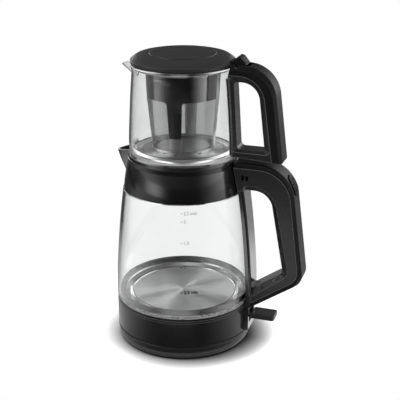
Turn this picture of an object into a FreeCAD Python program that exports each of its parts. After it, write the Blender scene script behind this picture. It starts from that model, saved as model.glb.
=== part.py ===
import FreeCAD, Part
import math
import os

# Automatic tea maker: a glass kettle on a power base, with a glass teapot and its steel infuser on top.
# Millimetres.  The origin is on the standing surface, on the axis of the kettle.  +Z is up, both handles
# point along +X, both spouts along -X, and the level marks of the kettle face -Y.

# ---- driving dimensions -------------------------------------------------------------------------------
BODY_R = 78.0  # outer radius of the kettle glass at its foot
BODY_FOOT_Z = 55.6  # height of that radius
BODY_TAPER = (0.0230, 0.00046)  # radius lost per millimetre of height, and per millimetre squared
GLASS_WALL = 3.0  # kettle glass
BAND_R = 77.8  # outer radius of the plastic band under the glass
BASE_TOP_Z = 15.8  # top face of the power base
BASE_CEILING_Z = 13.4  # underside of that face
KETTLE_FLOOR_Z = 16.4  # underside of the kettle
KETTLE_COVER_TOP_Z = 18.8
GLASS_BOTTOM_Z = 52.6
SHOULDER_Z = 180.6  # where the kettle glass steps in under the collar
NECK_TOP_Z = 204.6
COLLAR_TOP_Z = 221.2
COLLAR_MOUTH_R = 60.0
SEAT_Z = 221.2  # top of the kettle lid, under the teapot
HANDLE_HALF = 14.5  # both handles are this wide each side of the middle plane
CORE_HALF = 9.5  # half width of the parts between the handle's faces
COVER_FLAT_HALF = 11.5  # half width of the flat outer face of the kettle handle
SHELL_FLAT_HALF = 10.5  # the same for the teapot handle
SPINE_GAP = 0.4  # between the glass and the handle's spine
SPINE_THICK = 6.5
POT_BOTTOM_Z = 221.6  # underside of the teapot glass
POT_RIM_Z = 320.3
POT_WALL = 2.4
POT_PAD = 0.6  # bond line between teapot glass and handle
LID_RIM_Z = 322.1
LID_R = 57.0
LID_HINGE = (62.8, 320.8)  # X and Z of the teapot lid's hinge axis
LID_PIN_R = 1.5
TAB_HALF = 8.0
LEVER_PIVOT = (71.5, 33.5)  # X and Z of the switch lever's axis
LEVER_PIN_R = 1.2
RUNNING_GAP = 0.05  # radial play of a pin in a moving part
SHOULDER_CENTRE = (90.46, 178.0)  # X and Z of the centre of the kettle handle's shoulder arc
SHOULDER_R = 40.0
BUTTON_ANGLE = 25.0  # degrees above +X of the lid button on that arc
BUTTON_TRAVEL = 2.5
COUPLER_R = 21.0
CONNECTOR_R = 16.6
FOOT_R = 6.0
FOOT_CIRCLE_R = 60.0


def body_radius(z):
    """Outer radius of the kettle's glass body at height z."""
    rise = z - BODY_FOOT_Z
    return BODY_R - BODY_TAPER[0] * rise - BODY_TAPER[1] * rise * rise


# ---- shape helpers --------------------------------------------------------------------------------------
def point(x, y, z):
    return FreeCAD.Vector(x, y, z)


def path_edges(path, place):
    """Closed run of edges.  A step is a point (a, b), or a pair (via, end) for an arc."""
    edges = []
    pen = path[0]
    for step in path[1:] + [path[0]]:
        if isinstance(step[0], tuple):
            via, end = step
            edges.append(Part.Arc(place(*pen), place(*via), place(*end)).toShape())
        else:
            end = step
            if end != pen:
                edges.append(Part.LineSegment(place(*pen), place(*end)).toShape())
        pen = end
    return edges


def lathe(path):
    """Solid of revolution about Z of a closed (radius, height) path."""
    edges = path_edges(path, lambda r, z: point(r, 0, z))
    return Part.Face(Part.Wire(edges)).revolve(point(0, 0, 0), point(0, 0, 1), 360)


def rounded_wire(corners, y):
    """Closed wire in the plane y of straight runs with a tangent arc at each (x, z, radius) corner."""
    joints = []
    count = len(corners)
    for i, (x, z, radius) in enumerate(corners):
        here = point(x, y, z)
        if radius == 0:
            joints.append((here, None, here))
            continue
        back = point(corners[i - 1][0], y, corners[i - 1][1]) - here
        ahead = point(corners[(i + 1) % count][0], y, corners[(i + 1) % count][1]) - here
        back.normalize()
        ahead.normalize()
        half = back.getAngle(ahead) / 2
        reach = radius / math.tan(half)
        bisector = back + ahead
        bisector.normalize()
        middle = here + bisector * (radius / math.sin(half) - radius)
        joints.append((here + back * reach, middle, here + ahead * reach))
    edges = []
    for i, (start, middle, end) in enumerate(joints):
        if middle is not None:
            edges.append(Part.Arc(start, middle, end).toShape())
        edges.append(Part.LineSegment(end, joints[(i + 1) % count][0]).toShape())
    return Part.Wire(edges)


def slab(corners, y_low, y_high):
    """Prism of a rounded outline, from y_low to y_high."""
    return Part.Face(rounded_wire(corners, y_low)).extrude(point(0, y_high - y_low, 0))


def taper(corners_a, y_a, corners_b, y_b):
    """Ruled solid between two rounded outlines with the same number of corners."""
    return Part.makeLoft([rounded_wire(corners_a, y_a), rounded_wire(corners_b, y_b)], True, True)


def blend_corners(corners_a, corners_b, share):
    """Outline that lies the given share of the way from corners_a to corners_b, or past it."""
    return [tuple(p + (q - p) * share for p, q in zip(a, b)) for a, b in zip(corners_a, corners_b)]


def bevelled(corners_in, half_in, corners_out, half_out):
    """Symmetric solid: straight to half_in each side of the middle plane, then tapering to half_out."""
    solid = slab(corners_in, -half_in, half_in)
    for side in (1, -1):
        solid = solid.fuse(taper(corners_in, side * half_in, corners_out, side * half_out))
    return solid.removeSplitter()


def mirrored(shape):
    return shape.mirror(point(0, 0, 0), point(0, 1, 0))


def tube(r_in, r_out, z_low, z_high):
    return lathe([(r_in, z_low), (r_out, z_low), (r_out, z_high), (r_in, z_high)])


def post(x, y, radius, z_low, z_high):
    return Part.makeCylinder(radius, z_high - z_low, point(x, y, z_low))


def axle(x, z, radius, y_low, y_high):
    return Part.makeCylinder(radius, y_high - y_low, point(x, y_low, z), point(0, 1, 0))


def block(x_low, x_high, y_low, y_high, z_low, z_high):
    return Part.makeBox(x_high - x_low, y_high - y_low, z_high - z_low, point(x_low, y_low, z_low))


def around(shape, angles):
    """Copies of a shape turned about Z to each angle in degrees."""
    copies = []
    for angle in angles:
        copy = shape.copy()
        copy.rotate(point(0, 0, 0), point(0, 0, 1), angle)
        copies.append(copy)
    return copies


def joined(shapes):
    first, rest = shapes[0], shapes[1:]
    return first.fuse(rest).removeSplitter() if rest else first


def beak(sections, mid_share=0.46, mid_width=0.74):
    """Pouring lip: a loft of convex V sections (z, nose x, root x, half width) that point along -X."""
    wires = []
    for z, nose, root, half in sections:
        depth = root - nose
        near = [(root, half), (nose + mid_share * depth, mid_width * half), (nose, 0.08 * half)]
        line = [point(x, y, z) for x, y in near]
        line += [point(x, -y, z) for x, y in reversed(near)]
        curve = Part.BSplineCurve()
        curve.interpolate(line)
        closing = Part.LineSegment(line[-1], line[0]).toShape()
        wires.append(Part.Wire([curve.toShape(), closing]))
    return Part.makeLoft(wires, True, False)


def sloping_lid(x_low, z_low, x_high, z_high):
    """Tall block that takes away everything above a plane through two points of the middle plane."""
    top = 400
    outline = [(x_low, z_low, 0), (x_high, z_high, 0), (x_high, top, 0), (x_low, top, 0)]
    return slab(outline, -100, 100)


# ---- power base -----------------------------------------------------------------------------------------
FEET_ANGLES = (45, 135, 225, 315)  # and one more foot on the axis, under the connector
SCREW_ANGLES = (0, 120, 240)
GLAND_Z = 8.2
GLAND_R = 4.5
GLAND_BORE_R = 3.2
GLAND_IN_Y = 68.0
GLAND_OUT_Y = 77.4
COVER_LOW_Z = 1.2
COVER_TOP_Z = 3.4
FOOT_TOP_Z = 2.2


def power_base():
    outer = [(73.6, 1.2), ((75.9, 3.8), (76.9, 8.0)), (77.8, 14.6), (77.0, BASE_TOP_Z)]
    inner = [(16.8, BASE_TOP_Z), (16.8, BASE_CEILING_Z), (75.0, BASE_CEILING_Z), (74.3, 8.0), (71.6, 1.2)]
    shell = lathe(outer + inner)
    bosses = around(post(FOOT_CIRCLE_R, 0, 4.0, COVER_TOP_Z, 14.0), SCREW_ANGLES)
    threads = around(post(FOOT_CIRCLE_R, 0, 1.5, COVER_TOP_Z, 12.0), SCREW_ANGLES)
    gland_hole = axle(0, GLAND_Z, GLAND_R, GLAND_IN_Y, 90)
    shell = joined([shell] + bosses).cut(threads + [gland_hole])

    cover = post(0, 0, 71.4, COVER_LOW_Z, COVER_TOP_Z)
    foot = post(0, 0, FOOT_R, 0, FOOT_TOP_Z)
    outer_foot = post(FOOT_CIRCLE_R, 0, FOOT_R, 0, FOOT_TOP_Z)
    seats = [foot] + around(outer_foot, FEET_ANGLES)
    sinks = around(post(FOOT_CIRCLE_R, 0, 3.2, COVER_LOW_Z, 2.4), SCREW_ANGLES)
    holes = around(post(FOOT_CIRCLE_R, 0, 1.7, COVER_LOW_Z, COVER_TOP_Z), SCREW_ANGLES)
    grip = tube(24.0, 26.0, COVER_LOW_Z, 1.8)
    cover = cover.cut(seats + sinks + holes + [grip])

    feet = []
    for seat in seats:
        feet.append(seat.makeChamfer(0.5, [e for e in seat.Edges if e.BoundBox.ZMax < 0.01]))
    screw = post(FOOT_CIRCLE_R, 0, 3.0, 1.3, 2.4).fuse(post(FOOT_CIRCLE_R, 0, 1.5, 2.4, 11.8))
    drive = block(FOOT_CIRCLE_R - 2.0, FOOT_CIRCLE_R + 2.0, -0.4, 0.4, 1.3, 1.8)
    screw = screw.cut(drive)

    gland = axle(0, GLAND_Z, GLAND_R, GLAND_IN_Y, GLAND_OUT_Y)
    gland = gland.fuse(block(-6.0, 6.0, 70.4, 72.3, 4.2, 12.4))
    gland = gland.cut(axle(0, GLAND_Z, GLAND_BORE_R, GLAND_IN_Y - 1, 90))

    low = [(0, 5.0), (CONNECTOR_R, 5.0), (CONNECTOR_R, 11.0), (20.0, 11.0)]
    high = [(20.0, BASE_CEILING_Z), (CONNECTOR_R, BASE_CEILING_Z), (CONNECTOR_R, 23.0), (15.4, 24.4), (0, 24.4)]
    connector = lathe(low + high)
    connector = connector.cut([tube(7.6, 9.8, 14.0, 26.0), post(0, 0, 2.6, 10.0, 26.0)])
    contacts = Part.makeCompound([tube(9.2, 9.75, 14.0, 22.0), tube(2.0, 2.55, 10.0, 22.0)])
    return {
        "base_shell": shell,
        "base_bottom_cover": cover,
        "base_feet": Part.makeCompound(feet),
        "base_screws": Part.makeCompound(around(screw, SCREW_ANGLES)),
        "cord_gland": gland,
        "base_connector": connector,
        "base_contacts": contacts,
    }


# ---- round coupler between base and kettle ---------------------------------------------------------------
def coupler():
    outer = [(17.2, 16.6), (COUPLER_R, 16.6), (COUPLER_R, 19.4), (23.0, 19.4), (23.0, 20.8)]
    inner = [(COUPLER_R, 20.8), (COUPLER_R, 27.4), (0, 27.4), (0, 25.4), (17.2, 25.4)]
    blades = [tube(8.2, 8.8, 15.0, 25.4), post(0, 0, 1.6, 12.0, 25.4)]
    return {"kettle_coupler": lathe(outer + inner), "coupler_contacts": Part.makeCompound(blades)}


# ---- kettle foot: band, underside, heating parts and switch ------------------------------------------------
LEVER_OPENING_HALF = 11.0
LEVER_OPENING_Z = (26.0, 40.5)
KETTLE_SCREW_ANGLES = (60, 180, 300)
KETTLE_SCREW_CIRCLE_R = 70.8


def lever_opening():
    """Arched way through band and handle foot for the switch lever."""
    low, high = LEVER_OPENING_Z
    half = LEVER_OPENING_HALF
    spring = high - 8.0
    shoulder = 8.0 * math.sqrt(0.5)
    path = [
        (-half, low),
        (half, low),
        (half, spring),
        ((half - 8.0 + shoulder, spring + shoulder), (half - 8.0, high)),
        (8.0 - half, high),
        ((8.0 - half - shoulder, spring + shoulder), (-half, spring)),
    ]
    edges = path_edges(path, lambda y, z: point(66.0, y, z))
    return Part.Face(Part.Wire(edges)).extrude(point(40, 0, 0))


def kettle_foot():
    outside = [
        (75.2, KETTLE_FLOOR_Z),
        (77.0, KETTLE_FLOOR_Z),
        (BAND_R, 17.2),
        (BAND_R, 45.6),
        (77.4, 45.7),
        (77.4, 46.1),
        (BAND_R, 46.2),
        (BAND_R, 48.1),
        (77.4, 48.2),
        (77.4, 48.6),
        (77.6, 48.8),
        (77.1, 51.0),
    ]
    shelf = [(67.0, 51.0), (67.0, 49.4), (75.2, 49.4)]
    band = lathe(outside + shelf)
    bosses = around(post(KETTLE_SCREW_CIRCLE_R, 0, 3.6, KETTLE_COVER_TOP_Z, 49.6), KETTLE_SCREW_ANGLES)
    threads = around(post(KETTLE_SCREW_CIRCLE_R, 0, 1.5, KETTLE_COVER_TOP_Z, 32.0), KETTLE_SCREW_ANGLES)
    band = joined([band] + bosses).cut(threads + [lever_opening()])

    cover = tube(COUPLER_R + RUNNING_GAP, 75.1, KETTLE_FLOOR_Z, KETTLE_COVER_TOP_Z)
    sinks = around(post(KETTLE_SCREW_CIRCLE_R, 0, 3.0, KETTLE_FLOOR_Z, 17.8), KETTLE_SCREW_ANGLES)
    holes = around(post(KETTLE_SCREW_CIRCLE_R, 0, 1.7, KETTLE_FLOOR_Z, KETTLE_COVER_TOP_Z), KETTLE_SCREW_ANGLES)
    cover = cover.cut(sinks + holes)
    head = post(KETTLE_SCREW_CIRCLE_R, 0, 2.8, 16.6, 17.8)
    screw = head.fuse(post(KETTLE_SCREW_CIRCLE_R, 0, 1.5, 17.8, 31.8))

    plate_top = [(0, 53.2), (58.8, 53.2), ((60.4, 54.4), (62.0, 53.2)), (63.2, 53.0), (68.0, 55.0), (73.0, 60.4)]
    plate_rim = [((74.0, 61.4), (74.6, 60.6)), (74.6, GLASS_BOTTOM_Z), (73.9, GLASS_BOTTOM_Z), (73.9, 60.1)]
    plate_under = [(73.4, 59.8), (67.7, 54.0), (63.0, 52.2), (62.0, 52.4), ((60.4, 53.6), (58.8, 52.4)), (0, 52.4)]
    plate = lathe(plate_top + plate_rim + plate_under)
    seal = lathe(
        [
            (73.0, 51.0),
            (77.0, 51.0),
            (77.3, GLASS_BOTTOM_Z),
            (74.95, GLASS_BOTTOM_Z),
            (74.95, 54.6),
            (74.65, 54.6),
            (74.65, GLASS_BOTTOM_Z),
            (73.0, GLASS_BOTTOM_Z),
        ]
    )
    diffuser = post(0, 0, 50.0, 49.2, 52.4)
    ring_z = 45.9
    ring = Part.makeTorus(38.0, 3.3, point(0, 0, ring_z), point(0, 0, 1), 0, 360, 310)
    ring.rotate(point(0, 0, 0), point(0, 0, 1), 25)
    legs = around(post(38.0, 0, 2.2, 31.0, ring_z), (25, 335))
    element = joined([ring] + legs)
    control = lathe([(0, 29.0), (22.0, 29.0), (24.0, 31.0), (24.0, 41.0), (22.0, 42.4), (0, 42.4)])
    for angle in (25, -25):
        arm = block(20.0, 44.0, -4.0, 4.0, 33.0, 37.0)
        arm.rotate(point(0, 0, 0), point(0, 0, 1), angle)
        control = control.fuse(arm)
    control = control.cut(around(post(38.0, 0, 2.2, 31.0, ring_z), (25, 335)))

    pivot_x, pivot_z = LEVER_PIVOT
    housing = block(54.0, 67.6, -12.6, 12.6, 26.0, 43.0)
    ears = [block(67.6, 73.8, y, y + 2.0, 29.5, 37.5) for y in (10.6, -12.6)]
    housing = joined([housing] + ears).cut(axle(pivot_x, pivot_z, LEVER_PIN_R, -13, 13))
    return {
        "kettle_band": band,
        "kettle_underside": cover,
        "kettle_base_screws": Part.makeCompound(around(screw, KETTLE_SCREW_ANGLES)),
        "heating_plate": plate,
        "glass_lower_seal": seal,
        "heat_spreader": diffuser,
        "heating_element": element,
        "thermostat_control": control,
        "steam_switch": housing,
        "lever_pin": axle(pivot_x, pivot_z, LEVER_PIN_R, -12.6, 12.6),
    }


def switch_lever():
    x, z = LEVER_PIVOT
    barrel = axle(x, z, 2.6, -10.4, 10.4)
    neck = block(x, 86.0, -8.6, 8.6, 31.8, 35.6)
    paddle = block(84.0, 110.8, -10.3, 10.3, 31.0, 36.5)
    uprights = [e for e in paddle.Edges if e.BoundBox.ZLength > 5 and e.BoundBox.XMin > 100]
    paddle = paddle.makeFillet(3.5, uprights)
    rims = [e for e in paddle.Edges if e.BoundBox.ZLength < 0.01]
    paddle = paddle.makeFillet(0.9, rims)
    lever = joined([barrel, neck, paddle])
    return {"switch_lever": lever.cut(axle(x, z, LEVER_PIN_R + RUNNING_GAP, -11, 11))}


# ---- kettle glass and collar --------------------------------------------------------------------------------
COLLAR_FOOT_Z = 181.9
COLLAR_INSIDE = [(61.8, 204.4), (61.7, 206.2), (COLLAR_MOUTH_R, 206.2), (COLLAR_MOUTH_R, COLLAR_TOP_Z)]
COLLAR_OUTSIDE = [
    (66.8, COLLAR_FOOT_Z),
    (67.1, 182.4),
    ((64.8, 199.0), (62.0, 212.3)),
    (61.9, 217.2),
    (61.5, 217.5),
    (61.5, 217.9),
    (60.9, COLLAR_TOP_Z),
]


def kettle_glass():
    mid_z = 117.0
    outside = [
        (75.2, GLASS_BOTTOM_Z),
        (77.0, GLASS_BOTTOM_Z),
        ((77.7, 52.9), (body_radius(53.6), 53.6)),
        ((body_radius(mid_z), mid_z), (body_radius(SHOULDER_Z), SHOULDER_Z)),
        (67.4, 181.3),
        (64.6, 181.6),
        (64.2, 183.0),
        (61.2, NECK_TOP_Z),
    ]
    inside = [
        (58.4, NECK_TOP_Z),
        (61.2, 184.0),
        (body_radius(179.0) - GLASS_WALL, 179.0),
        ((body_radius(mid_z) - GLASS_WALL, mid_z), (75.0, 53.4)),
    ]
    return {"kettle_glass": lathe(outside + inside)}


def collar_blank():
    """Everything within the collar's outer surface."""
    return lathe([(0, COLLAR_FOOT_Z)] + COLLAR_OUTSIDE + [(0, COLLAR_TOP_Z)])


def collar_bore():
    """Everything within the collar's inner surface, past both ends."""
    return lathe([(0, 150), (64.9, 150), (64.9, COLLAR_FOOT_Z)] + COLLAR_INSIDE + [(COLLAR_MOUTH_R, 230), (0, 230)])


def collar_lugs():
    """Two lugs that reach from the collar into the handle."""
    return [block(60.5, 72.0, low, low + 5.2, 199.0, 205.0) for low in (3.8, -9.0)]


def collar():
    outer = beak(
        [
            (188.0, -67.8, -60.0, 2.5),
            (196.0, -70.6, -58.0, 6.5),
            (204.0, -73.8, -57.0, 9.8),
            (213.0, -77.0, -56.0, 13.0),
            (226.0, -79.8, -56.0, 16.0),
        ]
    )
    cavity = beak(
        [
            (207.0, -72.2, -57.0, 8.6),
            (213.0, -74.4, -57.0, 10.8),
            (228.0, -78.0, -57.0, 14.2),
        ]
    )
    above_rim = sloping_lid(-90, 214.95, -40, 225.0)
    screws = [handle_screw_hole(y, 1.5) for y in HANDLE_SCREWS_Y]
    steam_way = block(55, 66, -2.6, 2.6, 207.6, 211.6)
    whole = joined([collar_blank(), outer.cut(above_rim)] + collar_lugs())
    whole = whole.cut([collar_bore(), cavity, steam_way] + screws)
    gasket = tube(58.5, 61.0, NECK_TOP_Z, 206.2)
    screen = tube(60.6, 61.2, 207.2, 216.4).common(block(-70, -50, -7.2, 7.2, 200, 220))
    return {"collar": whole, "collar_gasket": gasket, "spout_filter": screen}


# ---- kettle handle --------------------------------------------------------------------------------------------
HANDLE_SCREW_X = 67.6
HANDLE_SCREWS_Y = (6.4, -6.4)
# corners of the outlines in the middle plane: X, Z and corner radius
SIDE_OUTLINE = [
    (62.1, 212.3, 0),
    (122.5, 212.3, 36.5),
    (137.9, 88.6, 18),
    (80.5, 50.2, 0),
    (72.0, 184.0, 0),
    (67.3, 184.0, 0),
]
CORE_OUTLINE = [(57.0, 212.3, 0)] + SIDE_OUTLINE[1:5] + [(60.0, 184.0, 0)]
COVER_OUTLINE = [
    (62.4, 218.0, 0),
    (125.6, 218.0, SHOULDER_R),
    (142.8, 85.5, 16),
    (80.5, 44.0, 0),
    (72.0, 184.0, 0),
    (67.3, 184.0, 0),
]
COVER_SIDE_OUTLINE = [
    (62.4, 217.2, 0),
    (123.0, 217.2, 39),
    (139.4, 83.9, 17),
    (80.5, 44.8, 0),
    (72.0, 184.0, 0),
    (67.3, 184.0, 0),
]
GRIP_OPENING = [(73.6, 186.9, 3), (102.35, 186.9, 20.6), (119.2, 93.5, 7), (79.0, 66.5, 1)]
GRIP_OPENING_SIDE = [(73.6, 193.3, 4), (106.5, 193.3, 28), (126.7, 92.2, 11), (79.0, 56.0, 1)]


def handle_screw_hole(y, radius):
    return post(HANDLE_SCREW_X, y, radius, 199.5, 212.3)


def spine_solid():
    """Upright of the handle along the glass, with its foot over the band."""
    foot_z, top_z, mid_z = 60.0, 186.5, 123.0

    def inner(z):
        return (body_radius(z) + SPINE_GAP, z)

    def outer(z):
        return (body_radius(z) + SPINE_GAP + SPINE_THICK, z)

    path = [
        (74.0, 17.4),
        (81.2, 17.4),
        (82.0, 18.4),
        (82.0, 46.0),
        (84.8, 52.0),
        outer(foot_z),
        (outer(mid_z), outer(top_z)),
        inner(top_z),
        (inner(mid_z), inner(foot_z)),
        (78.3, 51.4),
        (74.0, 51.4),
    ]
    edges = path_edges(path, lambda x, z: point(x, -HANDLE_HALF, z))
    return Part.Face(Part.Wire(edges)).extrude(point(0, 2 * HANDLE_HALF, 0))


def grip_opening(inner, side):
    """Finger opening: straight between the faces, with a wide bevel at each face."""
    past = blend_corners(inner, side, 1.2)
    deep = HANDLE_HALF + 0.2 * (HANDLE_HALF - CORE_HALF)
    return bevelled(inner, CORE_HALF, past, deep)


def button_frame():
    """Centre of the shoulder arc and the button's outward direction."""
    angle = math.radians(BUTTON_ANGLE)
    centre = point(SHOULDER_CENTRE[0], 0, SHOULDER_CENTRE[1])
    return centre, point(math.cos(angle), 0, math.sin(angle))


def along_button(length, half_long, half_wide, start):
    """Round-ended bar along the button's axis, from the given distance off the arc's centre."""
    straight = half_long - half_wide
    path = [
        (-straight, -half_wide),
        (straight, -half_wide),
        ((half_long, 0), (straight, half_wide)),
        (-straight, half_wide),
        ((-half_long, 0), (-straight, -half_wide)),
    ]
    edges = path_edges(path, lambda a, b: point(a, b, 0))
    bar = Part.Face(Part.Wire(edges)).extrude(point(0, 0, length))
    bar.translate(point(0, 0, start))
    bar.rotate(point(0, 0, 0), point(0, 1, 0), 90 - BUTTON_ANGLE)
    bar.translate(point(SHOULDER_CENTRE[0], 0, SHOULDER_CENTRE[1]))
    return bar


def button_cylinder(radius, start, end):
    centre, out = button_frame()
    return Part.makeCylinder(radius, end - start, centre + out * start, out)


BUTTON_UNDER = SHOULDER_R - 3.5  # distances from the centre of the shoulder arc
BUTTON_TOP = SHOULDER_R + 1.2
BUTTON_POCKET = SHOULDER_R - 6.4
STEM_END = SHOULDER_R - 10.0
STEM_HOLE_END = SHOULDER_R - 19.0
STEM_R = 2.8


def button_pocket():
    hole = button_cylinder(STEM_R + RUNNING_GAP, STEM_HOLE_END, SHOULDER_R)
    return [along_button(20, 12.6, 8.8, BUTTON_POCKET), hole]


def lid_button():
    centre = point(SHOULDER_CENTRE[0], 0, SHOULDER_CENTRE[1])
    plunger = along_button(20, 12.0, 8.2, BUTTON_UNDER)
    dome = Part.makeCylinder(BUTTON_TOP, 30, centre - point(0, 15, 0), point(0, 1, 0))
    plunger = plunger.common(dome)
    ridges = []
    for step in (-3, -1, 1, 3):
        angle = math.radians(BUTTON_ANGLE + 3.0 * step)
        x = centre.x + BUTTON_TOP * math.cos(angle)
        z = centre.z + BUTTON_TOP * math.sin(angle)
        ridges.append(axle(x, z, 0.6, -5.4, 5.4))
    button = joined([plunger, button_cylinder(STEM_R, STEM_END, BUTTON_UNDER + 1)] + ridges)

    wire_r, coil_r, pitch = 0.35, 1.9, 1.15
    height = STEM_END - BUTTON_TRAVEL - STEM_HOLE_END - 2 * wire_r
    helix = Part.makeHelix(pitch, height, coil_r)
    section = Part.Wire(Part.makeCircle(wire_r, point(coil_r, 0, 0), point(0, 1, 0)))
    spring = Part.Wire(helix.Edges).makePipeShell([section], True, True)
    spring.translate(point(0, 0, STEM_HOLE_END + wire_r))
    spring.rotate(point(0, 0, 0), point(0, 1, 0), 90 - BUTTON_ANGLE)
    spring.translate(centre)
    return {"lid_button": button, "button_spring": spring}


def kettle_handle():
    spine_blank = spine_solid()
    foot_ring = post(0, 0, BAND_R, 10, 51.4)
    opening = grip_opening(GRIP_OPENING, GRIP_OPENING_SIDE)
    pockets = button_pocket()
    round_collar = collar_blank()

    face_edges = [e for e in spine_blank.Edges if e.BoundBox.ZLength > 100 and e.BoundBox.XMax > 83]
    spine = spine_blank.makeFillet(2.6, face_edges)
    duct_mid = 123.0
    duct = [
        (body_radius(62) + 2.6, 62.0),
        (body_radius(62) + 5.0, 62.0),
        ((body_radius(duct_mid) + 5.0, duct_mid), (body_radius(190) + 5.0, 190.0)),
        (body_radius(190) + 2.6, 190.0),
        ((body_radius(duct_mid) + 2.6, duct_mid), (body_radius(62) + 2.6, 62.0)),
    ]
    duct_edges = path_edges(duct, lambda x, z: point(x, -5.0, z))
    duct_solid = Part.Face(Part.Wire(duct_edges)).extrude(point(0, 10.0, 0))
    spine = spine.cut([foot_ring, lever_opening(), duct_solid])

    screw_holes = [handle_screw_hole(y, 1.6) for y in HANDLE_SCREWS_Y]
    duct_slot = block(60.0, 72.5, -2.6, 2.6, 184.0, 211.6)
    core = slab(CORE_OUTLINE, -CORE_HALF, CORE_HALF)
    core = core.cut([opening, spine_blank, round_collar, duct_slot] + collar_lugs() + screw_holes + pockets)

    slots = []
    for x in (72.4, 77.05):
        slots.append(slab(
            [(x - 1.45, 198.8, 1.3), (x - 1.45, 205.2, 1.3), (x + 1.45, 205.2, 1.3), (x + 1.45, 198.8, 1.3)],
            CORE_HALF, HANDLE_HALF + 1,
        ))
    cheek = slab(SIDE_OUTLINE, CORE_HALF, HANDLE_HALF).cut([opening, spine_blank] + slots + pockets)

    cover = bevelled(COVER_OUTLINE, COVER_FLAT_HALF, COVER_SIDE_OUTLINE, HANDLE_HALF)
    inside = slab(SIDE_OUTLINE, -HANDLE_HALF - 1, HANDLE_HALF + 1)
    cover = cover.cut([inside, spine_blank, round_collar] + pockets)

    screws = []
    for y in HANDLE_SCREWS_Y:
        shank = post(HANDLE_SCREW_X, y, 1.5, 199.6, 210.4)
        screws.append(shank.fuse(post(HANDLE_SCREW_X, y, 1.6, 210.4, 212.2)))
    return {
        "kettle_handle_spine": spine,
        "kettle_handle_core": core,
        "kettle_handle_cheek_left": cheek,
        "kettle_handle_cheek_right": mirrored(cheek),
        "kettle_handle_cover": cover,
        "kettle_handle_screws": Part.makeCompound(screws),
    }


# ---- kettle lid: the ring that the teapot stands on -----------------------------------------------------------
LID_SKIRT_TOP_Z = 218.4


def kettle_lid():
    ring = lathe(
        [
            (59.6, LID_SKIRT_TOP_Z),
            (59.6, SEAT_Z),
            (45.2, SEAT_Z),
            (45.2, 220.3),
            (40.0, 220.3),
            (40.0, LID_SKIRT_TOP_Z),
        ]
    )
    vents = around(block(57.2, 61.0, -2.6, 2.6, 219.6, 222.0), [45 * n for n in range(8)])
    ring = ring.cut(vents)
    skirt = lathe(
        [
            (57.6, 206.8),
            (59.6, 206.8),
            (59.6, 215.4),
            (58.8, 215.4),
            (58.8, 217.2),
            (59.6, 217.2),
            (59.6, LID_SKIRT_TOP_Z),
            (57.6, LID_SKIRT_TOP_Z),
        ]
    )
    skirt = skirt.cut(block(-62, -50, -8.6, 8.6, 200.0, 214.8))
    steam_holes = [post(0, 0, 3.0, 219, 222)]
    for radius, count in ((14.0, 6), (27.0, 12)):
        steam_holes += around(post(radius, 0, 2.4, 219, 222), [360.0 / count * n for n in range(count)])
    plate = post(0, 0, 45.0, 220.3, 221.0).cut(steam_holes)
    return {
        "kettle_lid": ring,
        "kettle_lid_skirt": skirt,
        "kettle_lid_seal": tube(58.8, 59.8, 215.4, 217.2),
        "steam_plate": plate,
    }


# ---- teapot -----------------------------------------------------------------------------------------------------
POT_LINE = [(60.1, 227.2), (60.2, 237.0), (58.75, 268.0), (55.6, 311.0)]  # radius and height of the glass


def pot_line(offset):
    """Outer line of the teapot glass moved out by offset, from its foot to just under its lip."""
    foot, low, middle, high = [(r + offset, z) for r, z in POT_LINE]
    return [foot, low, (middle, high)]


def teapot_glass():
    outside = [
        (0, POT_BOTTOM_Z + 0.6),
        (48.0, POT_BOTTOM_Z + 0.6),
        (50.0, POT_BOTTOM_Z),
        (55.1, POT_BOTTOM_Z),
        ((58.6, 223.2), pot_line(0)[0]),
    ]
    outside += pot_line(0)[1:]
    outside += [((55.9, 316.0), (57.2, 319.6)), ((57.1, 320.2), (56.5, POT_RIM_Z))]
    inside = [
        (55.2, POT_RIM_Z),
        ((53.6, 316.0), (53.2, 311.0)),
        ((56.35, 268.0), (57.8, 237.0)),
        (57.6, 233.4),
        ((55.4, 228.0), (50.2, 226.0)),
        (0, 226.0),
    ]
    body = lathe(outside + inside)
    lip_out = beak(
        [
            (303.0, -57.6, -50.0, 4.0),
            (309.0, -62.0, -50.0, 9.5),
            (314.5, -68.6, -50.0, 13.0),
            (322.0, -74.5, -50.0, 17.0),
        ]
    )
    lip_in = beak(
        [
            (302.0, -54.6, -48.0, 2.4),
            (309.0, -59.6, -48.0, 7.4),
            (314.5, -66.0, -48.0, 10.8),
            (323.0, -72.6, -48.0, 15.4),
        ]
    )
    above_rim = sloping_lid(-90, 306.4, -40, 330.6).fuse(block(-90, 0, -30, 30, POT_RIM_Z, 400))
    lip = lip_out.cut([above_rim, post(0, 0, 55.4, 240, 330)])
    return {"teapot_glass": joined([body, lip]).cut(lip_in)}


FRAME_BOTTOM = (225.6, -0.0564)  # height of the handle's underside at X 48, and its slope


def under_z(x):
    return FRAME_BOTTOM[0] + FRAME_BOTTOM[1] * (x - 48.0)


FRAME_OUTLINE = [(48.0, under_z(48.0), 0), (104.3, under_z(104.3), 0), (91.9, 314.0, 29.6), (48.0, 314.0, 0)]
SHELL_HEEL = [(105.6, under_z(105.6), 0), (48.0, under_z(48.0), 0)]
SHELL_OUTLINE = [(48.0, 324.2, 0), (103.05, 324.2, 35.6), (115.9, 220.4, 1.6)] + SHELL_HEEL
SHELL_SIDE_OUTLINE = [(48.0, 319.5, 0), (100.65, 319.5, 32.6), (112.75, 221.7, 1.6)] + SHELL_HEEL
POT_OPENING = [(59.9, 306.2, 4), (86.5, 306.2, 20), (95.2, 232.1, 4), (64.6, 232.1, 5)]
POT_OPENING_SIDE = [(56.6, 313.8, 5), (91.7, 313.8, 29.2), (102.7, 230.2, 5), (60.4, 230.2, 5)]


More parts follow.
